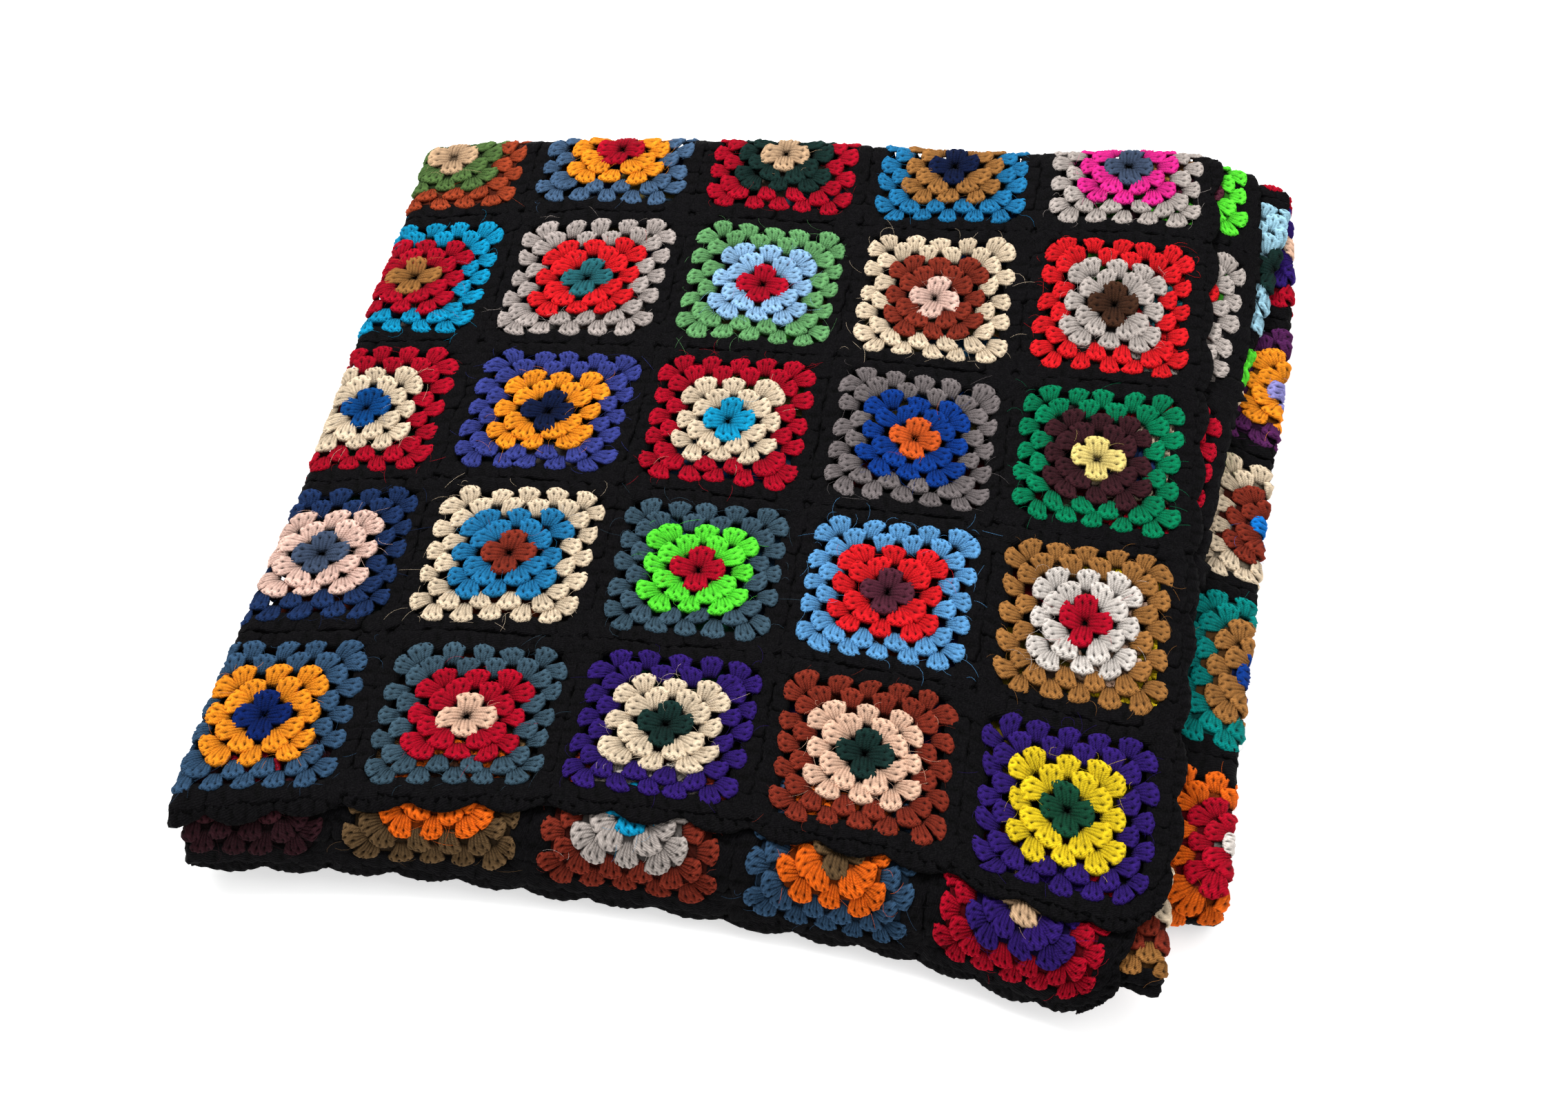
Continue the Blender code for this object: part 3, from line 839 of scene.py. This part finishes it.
def crochet(name, squares, face, shown=None, slip=(0, 0)):
    """The stitches of some squares on one face of the cloth, as one piece.

    Shown picks clusters by their place on the open blanket. Slip is how many squares the
    stitches are moved across and along there.
    """
    chance = settled_chance(name)
    yarns = Yarns()
    unit = SQUARE * 1000
    for column, row in squares:
        centre = np.array([column + 0.5, row + 0.5])
        twist = chance.normal(0, SQUARE_TWIST)
        skew, shift = chance.normal(0, SQUARE_SKEW, 2), chance.normal(0, SQUARE_SHIFT, 2)
        start = chance.uniform(*SLACK_STARTS, 2)
        turned = np.array([
            [math.cos(twist) - 1 + skew[0], math.sin(twist) + skew[1]],
            [-math.sin(twist) + skew[1], math.cos(twist) - 1 - skew[0]],
        ])
        colours = np.concatenate([yarn_of[column, row], [BLACK]])
        for fan, black in ((FULL_FAN, False), (PLAIN_FAN, True)):
            form = SQUARE_CLUSTERS[(SQUARE_CLUSTERS[:, 6] == BLACK_ROUND) == black]
            if shown is not None:
                middle = centre + (form[:, 0:2] + form[:, 2:4]) / 2 / unit
                form = form[shown(middle[:, 0], middle[:, 1])]
            if not len(form):
                continue
            count = len(form)
            base = form[:, 0:2] + chance.normal(0, CLUSTER_SHIFT, (count, 2))
            cap_shift = BLACK_CAP_SHIFT if black else CAP_SHIFT
            top = form[:, 2:4] + chance.normal(0, cap_shift, (count, 2))
            half_top = form[:, 5] * chance.uniform(*CAP_SPREAD, count)
            points, strands, shades = fans(fan, base, top, form[:, 4], half_top, chance)
            flat = points[:, :, 0:2]
            rim = np.clip(abs(flat).max(axis=-1, keepdims=True) / FREE_HALF, 0, 1)
            free = 1 - smooth_step((rim - FREE_FROM) / (1 - FREE_FROM))
            slack = SLACK * np.sin(flat[:, :, ::-1] / SLACK_LENGTH + start)
            flat = flat + free * (flat @ turned + shift + slack)
            across = centre[0] + slip[0] + flat[:, :, 0] / unit
            along = centre[1] + slip[1] + flat[:, :, 1] / unit
            puff = PUFF * (1 - rim[:, :, 0] ** 2)
            placed = place(across, along, face * (points[:, :, 2] + puff - CLOTH_SINK) / 1000)
            placed[:, :, 2] = np.maximum(placed[:, :, 2], LOWEST)
            picked = colours[[ROUND_YARNS[int(k)] for k in form[:, 6]]]
            picked = picked * chance.uniform(*DYE_SPREAD, (count, 1))
            pattern, creases = fan_pattern(fan)
            yarns.add(placed, strands, shades, creases, picked, pattern, face < 0)
    return yarns.piece(name)


# The stitches by their place in the pile: on top, at the front, and at the side folds.
stitches = [
    crochet("top_front_rows", [(c, r) for r in (0, 1) for c in range(5)], 1),
    crochet("top_middle_rows", [(c, r) for r in (2, 3) for c in range(5)], 1),
    crochet("top_back_row", [(c, 4) for c in range(5)], 1),
    crochet("front_drape", [(c, 0) for c in range(14, 19)], -1, lambda u, v: v < 0.80),
    crochet("back_corner_layer", [(18, r) for r in range(1, 5)], -1,
            lambda u, v: u > 18.35, slip=(0.06, 0.5)),
    crochet("right_fold_upper", [(9, r) for r in range(5)], 1, lambda u, v: u > 9.3),
    crochet("right_fold_middle", [(9, r) for r in range(5, 10)], 1,
            lambda u, v: u < 9.6, slip=(0.08, 0)),
    crochet("right_fold_lower", [(9, r) for r in range(10, 14)], 1,
            lambda u, v: (u > 9.3) & (u < 9.72)),
    crochet("left_fold", [(4, r) for r in range(5, 14)], 1, lambda u, v: u > 4.42),
]


# The hem: a black crocheted edging of shallow scallops, three to a square. Each scallop is
# one wide shell of five stitches, worked into the outermost round of the blanket.
SCALLOPS = 3
SHELL_DEPTH = 8.2  # mm out from the last round
SHELL_FOOT = 4.0  # mm back into it
SHELL_SINK = 0.4
SHELL_HALF_WIDTHS = (17.0, 21.0)
DEPTH_SPREAD = (0.85, 1.12)
CORNER_SHELL = 0.5  # its width and depth against the other shells
INNER_LEFT_FOLD = 14.3  # squares across: past it the blanket's other face looks outward
HEM_SEED = 9
HEM_SIDES = (
    # start corner, direction along the hem, direction out of the blanket, squares
    ((0, 0), (1, 0), (0, -1), COLUMNS),
    ((COLUMNS, 0), (0, 1), (1, 0), ROWS),
    ((COLUMNS, ROWS), (-1, 0), (0, 1), COLUMNS),
    ((0, ROWS), (0, -1), (-1, 0), ROWS),
)


def hem():
    """The shells along all four sides of the blanket, as one piece."""
    chance = np.random.default_rng(HEM_SEED)
    unit = SQUARE * 1000
    roots, outs, sizes = [], [], []
    for start, run, out, squares in HEM_SIDES:
        run, out, start = np.array(run), np.array(out), np.array(start) * unit
        places = (np.arange(squares * SCALLOPS) + 0.5)[:, None] * unit / SCALLOPS
        roots.append(np.vstack([start + places * run, start]))
        outs.append(np.vstack([np.tile(out, (len(places), 1)), (out - run) * math.sqrt(0.5)]))
        sizes.append(np.append(np.ones(len(places)), CORNER_SHELL))
    roots, outs, sizes = np.concatenate(roots), np.concatenate(outs), np.concatenate(sizes)
    yarns = Yarns()
    pattern, creases = fan_pattern(SHELL_FAN)
    for face in (1, -1):
        chosen = (roots[:, 0] > INNER_LEFT_FOLD * unit) == (face < 0)
        root, out, count = roots[chosen], outs[chosen], chosen.sum()
        depth = SHELL_DEPTH * (sizes[chosen] * chance.uniform(*DEPTH_SPREAD, count))[:, None]
        half_base, half_top = (half * sizes[chosen] for half in SHELL_HALF_WIDTHS)
        points, strands, shades = fans(
            SHELL_FAN, root - SHELL_FOOT * out, root + depth * out, half_base, half_top, chance)
        lift = face * (points[:, :, 2] - SHELL_SINK) / 1000
        placed = place(points[:, :, 0] / unit, points[:, :, 1] / unit, lift)
        placed[:, :, 2] = np.maximum(placed[:, :, 2], LOWEST)
        yarns.add(placed, strands, shades, creases, np.tile(BLACK, (count, 1)), pattern, face < 0)
    return yarns.piece("hem")


stitches.append(hem())


# Stray fibres: short hairs of the spun wool that stand off the stitches in slack arcs, made
# lighter than their yarn with painted sheen.
FIBRE_LENGTHS = (5.0, 17.0)  # mm, shortest and longest
FIBRE_RADIUS = 0.055
FIBRE_STEPS = 4
FIBRE_SIDES = 3
FIBRE_BEND = 1.3  # radians
FIBRE_RISE = 2.2
LEAST_RISE = 0.3
FIBRE_START = 2.6  # mm above the cloth
# Painted sheen: the hairs are lighter than the yarn they leave, and the black ones far lighter
# than black.
FIBRE_PAINTED_SHEEN = 1.2  # against the yarn that a hair leaves
PAINTED_SHEEN_FIBRE_BLACK = BLACK * 6
YARN_LIMITS = (18, 36, 54)  # mm from a square's middle to the ends of its three yarns
ASKEW = (0.31, 0.23, 0.92)  # a direction to measure the sides of a hair from


def fibres(name, squares, face, number, shown=None):
    """Hairs over some squares, each a closed three-sided strand in its yarn's colour, lightened
    with painted sheen.
    """
    chance = settled_chance(name)
    unit = SQUARE * 1000
    squares = np.array(squares)[chance.integers(0, len(squares), number)]
    root = squares + chance.uniform(0, 1, (number, 2))
    if shown is not None:
        root = root[shown(root[:, 0], root[:, 1])]
        number = len(root)
    length = chance.uniform(*FIBRE_LENGTHS, number)
    heading = chance.uniform(0, 2 * math.pi, number)
    bend = chance.normal(0, FIBRE_BEND, number)
    rise = chance.uniform(LEAST_RISE, 1, number) * FIBRE_RISE
    t = np.arange(FIBRE_STEPS + 1) / FIBRE_STEPS
    turn = heading[:, None] + bend[:, None] * t
    step = length[:, None, None] / FIBRE_STEPS
    run = np.cumsum(np.stack([np.cos(turn), np.sin(turn)], axis=-1) * step, axis=1)
    flat = root[:, None, :] + (run - run[:, :1]) / unit
    flat = np.clip(flat, 0, (COLUMNS, ROWS))
    high = FIBRE_START + rise[:, None] * np.sin(math.pi * t)
    middle = place(flat[:, :, 0], flat[:, :, 1], face * high / 1000)
    middle[:, :, 2] = np.maximum(middle[:, :, 2], LOWEST + FIBRE_RADIUS / 1000)
    along = np.gradient(middle, axis=1)
    along /= np.linalg.norm(along, axis=2, keepdims=True) + 1e-9
    side = np.cross(along, ASKEW)
    side /= np.linalg.norm(side, axis=2, keepdims=True) + 1e-9
    other = np.cross(along, side)
    around = (np.arange(FIBRE_SIDES) * 2 * math.pi / FIBRE_SIDES)[:, None]
    ring = side[:, :, None] * np.cos(around) + other[:, :, None] * np.sin(around)
    points = middle[:, :, None] + ring * FIBRE_RADIUS / 1000
    count = FIBRE_SIDES * (FIBRE_STEPS + 1)
    index = np.arange(count).reshape(-1, FIBRE_SIDES)
    after = np.roll(index, -1, axis=1)
    walls = np.stack([index[:-1], after[:-1], after[1:], index[1:]], axis=-1).reshape(-1, 4)
    ends = np.array([index[0, ::-1], index[-1]])
    offsets = count * np.arange(number)[:, None, None]
    off = abs(root % 1 - 0.5).max(axis=1) * unit
    which = np.searchsorted(YARN_LIMITS, off)
    column, row = root.astype(int).T
    yarn_with_painted_sheen = yarn_of[column, row, 2 - np.minimum(which, 2)] * FIBRE_PAINTED_SHEEN
    own = np.where(which[:, None] == len(YARN_LIMITS), PAINTED_SHEEN_FIBRE_BLACK, yarn_with_painted_sheen)
    return yarn_mesh(name, points.reshape(-1, 3), [
        (walls[None] + offsets).reshape(-1, 4), (ends[None] + offsets).reshape(-1, 3)],
        np.repeat(own, count, axis=0), np.zeros((number * count, 2)))


fuzz = [
    fibres("fuzz_top", [(c, r) for r in range(5) for c in range(5)], 1, 2600),
    fibres("fuzz_front", [(c, 0) for c in range(14, 19)], -1, 400, lambda u, v: v < 0.7),
    fibres("fuzz_right", [(9, r) for r in range(10)], 1, 260, lambda u, v: (u > 9.2) & (u < 9.6)),
    fibres("fuzz_left", [(4, r) for r in range(14)], 1, 240, lambda u, v: u > 4.3),
]


# The floor and the light: a plain pale floor with a slight glow of its own, so that it
# stays near white, and soft light from the back left and from the right.
FLOOR_HALF = 4.0
FLOOR_COLOUR = (0.9, 0.9, 0.9, 1)
FLOOR_ROUGHNESS = 0.9
FLOOR_GLOW = 0.55
WHITE = (1, 1, 1, 1)
WORLD_LIGHT = 0.48


def floor():
    mesh = bpy.data.meshes.new("floor")
    corners = [(-1, -1, 0), (1, -1, 0), (1, 1, 0), (-1, 1, 0)]
    mesh.from_pydata([Vector(corner) * FLOOR_HALF for corner in corners], [], [(0, 1, 2, 3)])
    material = bpy.data.materials.new("pale_floor")
    material.use_nodes = True
    shader = material.node_tree.nodes["Principled BSDF"].inputs
    shader["Base Color"].default_value = FLOOR_COLOUR
    shader["Roughness"].default_value = FLOOR_ROUGHNESS
    shader["Emission Color"].default_value = WHITE
    shader["Emission Strength"].default_value = FLOOR_GLOW
    mesh.materials.append(material)
    piece = bpy.data.objects.new("floor", mesh)
    bpy.context.scene.collection.objects.link(piece)


def area_light(name, place_at, size, power):
    """A square light that looks at the middle of the blanket."""
    light = bpy.data.lights.new(name, "AREA")
    light.size = size
    light.energy = power
    lamp = bpy.data.objects.new(name, light)
    lamp.location = place_at
    lamp.rotation_mode = "QUATERNION"
    lamp.rotation_quaternion = (-Vector(place_at)).to_track_quat("-Z", "Y")
    bpy.context.scene.collection.objects.link(lamp)


floor()
area_light("key", (-1.0, 1.2, 2.8), size=1.6, power=100)
area_light("fill", (1.8, 0.3, 2.6), size=2.6, power=38)
world = bpy.data.worlds.new("studio")
world.use_nodes = True
world.node_tree.nodes["Background"].inputs["Color"].default_value = WHITE
world.node_tree.nodes["Background"].inputs["Strength"].default_value = WORLD_LIGHT
bpy.context.scene.world = world
bpy.context.scene.view_settings.view_transform = "Standard"


# The camera, fitted to the grid of squares on top of the pile.
CAMERA_AT = (0.1685, -0.8018, 1.2154)
camera_data = bpy.data.cameras.new("camera")
camera_data.lens = 51.18
camera_data.sensor_width = 36
camera_data.sensor_fit = "HORIZONTAL"
camera = bpy.data.objects.new("camera", camera_data)
turn, tilt, roll = math.radians(11.8), math.radians(56.7), math.radians(-4.4)
forward = np.array([
    -math.sin(turn) * math.cos(tilt), math.cos(turn) * math.cos(tilt), -math.sin(tilt)])
right = np.array([math.cos(turn), math.sin(turn), 0])
up = np.cross(right, forward)
level_right = right * math.cos(roll) + up * math.sin(roll)
level_up = -right * math.sin(roll) + up * math.cos(roll)
rotation = Matrix(np.column_stack([level_right, level_up, -forward]).tolist()).to_4x4()
camera.matrix_world = Matrix.Translation(CAMERA_AT) @ rotation
bpy.context.scene.collection.objects.link(camera)
bpy.context.scene.camera = camera
